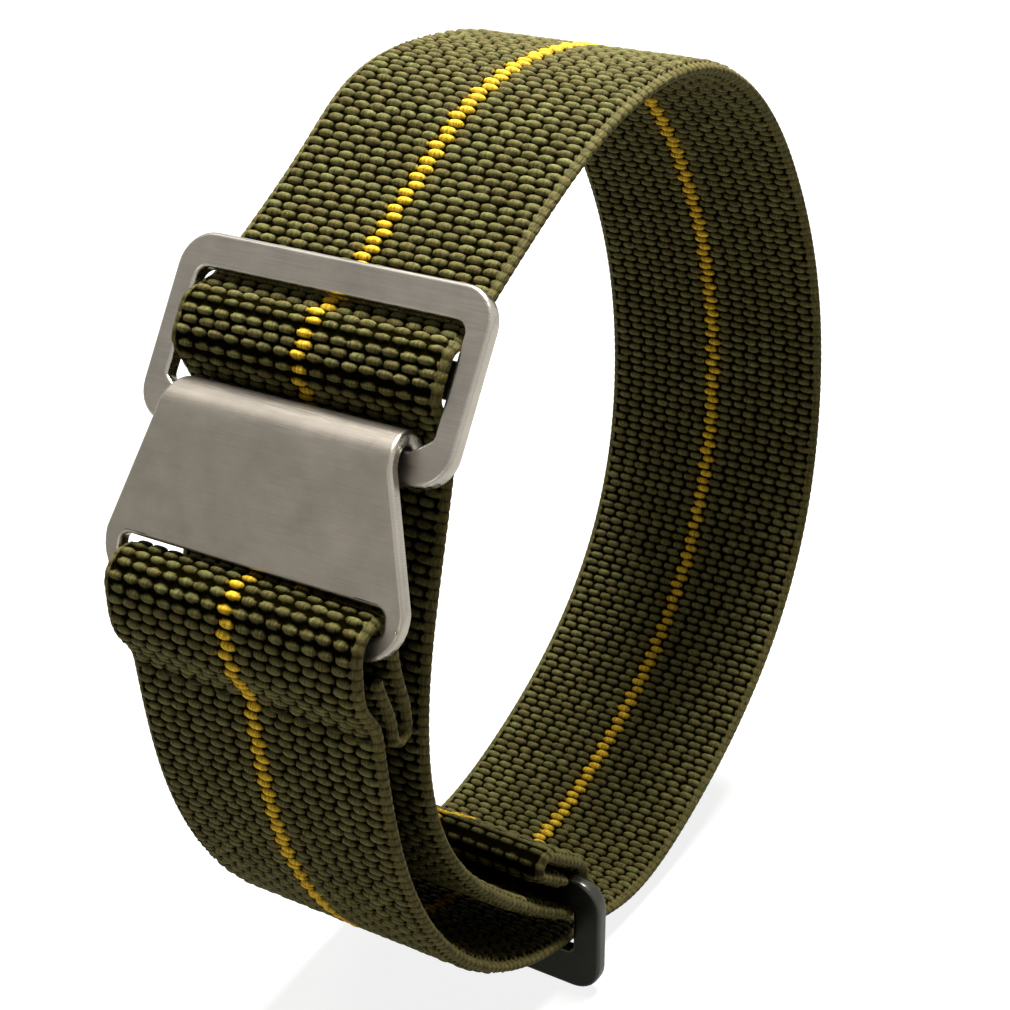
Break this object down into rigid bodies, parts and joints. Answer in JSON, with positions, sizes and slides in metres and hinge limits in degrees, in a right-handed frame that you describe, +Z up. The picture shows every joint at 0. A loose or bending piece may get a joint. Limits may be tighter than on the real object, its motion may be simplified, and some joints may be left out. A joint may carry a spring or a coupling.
{
  "type": "elastic watch band",
  "caption": "Elastic woven watch band closed in a loop, with an adjuster ring, a hook plate that hangs on its lowest bar and a keeper frame at the bottom.",
  "frame": {"origin": "centre of the band's width and depth, at the keeper frame's lower edge", "axes": "+X across the band's width, +Y from the clasp to the back of the loop, +Z up from the keeper to the crest that the watch sits on"},
  "size_m": [0.025, 0.0675, 0.0677],
  "materials": {
    "webbing": "woven, matte",
    "stripe_yarn": "woven, matte",
    "sewing_thread": "matte",
    "ring_steel": "satin",
    "hook_steel": "satin",
    "keeper_steel": "satin"
  },
  "bodies": {
    "strap": {"bottom_run": "webbing", "lower_back_run": "webbing", "upper_back_run": "webbing", "top_run": "webbing", "ring_run": "webbing", "ring_fold": "webbing", "inner_run": "webbing", "keeper_end_loop": "webbing", "keeper_end_hem": "webbing", "keeper_seam": "sewing_thread", "strap_stripe": "stripe_yarn", "front_run": "webbing", "front_stripe": "stripe_yarn"},
    "ring": {"adjuster_ring": "ring_steel"},
    "keeper": {"keeper_frame": "keeper_steel"},
    "hook": {"hook_plate": "hook_steel", "hook_end_loop": "webbing", "hook_end_hem": "webbing", "hook_seam": "sewing_thread", "hook_stripe": "stripe_yarn"}
  },
  "joints": [
    {"name": "hook_swing", "type": "hinge", "parent": "strap", "child": "hook", "pos_m": [0, -0.0264, 0.04972], "axis": [-1, 0, 0], "range_deg": [0, 60], "deforming": ["front_run", "front_stripe"]},
    {"name": "ring_tilt", "type": "hinge", "parent": "strap", "child": "ring", "pos_m": [0, -0.02325, 0.0545], "axis": [1, 0, 0], "range_deg": [-1.5, 1.5]},
    {"name": "keeper_swing", "type": "hinge", "parent": "strap", "child": "keeper", "pos_m": [0, -0.00765, 0.0084], "axis": [1, 0, 0], "range_deg": [-6, 6]}
  ]
}
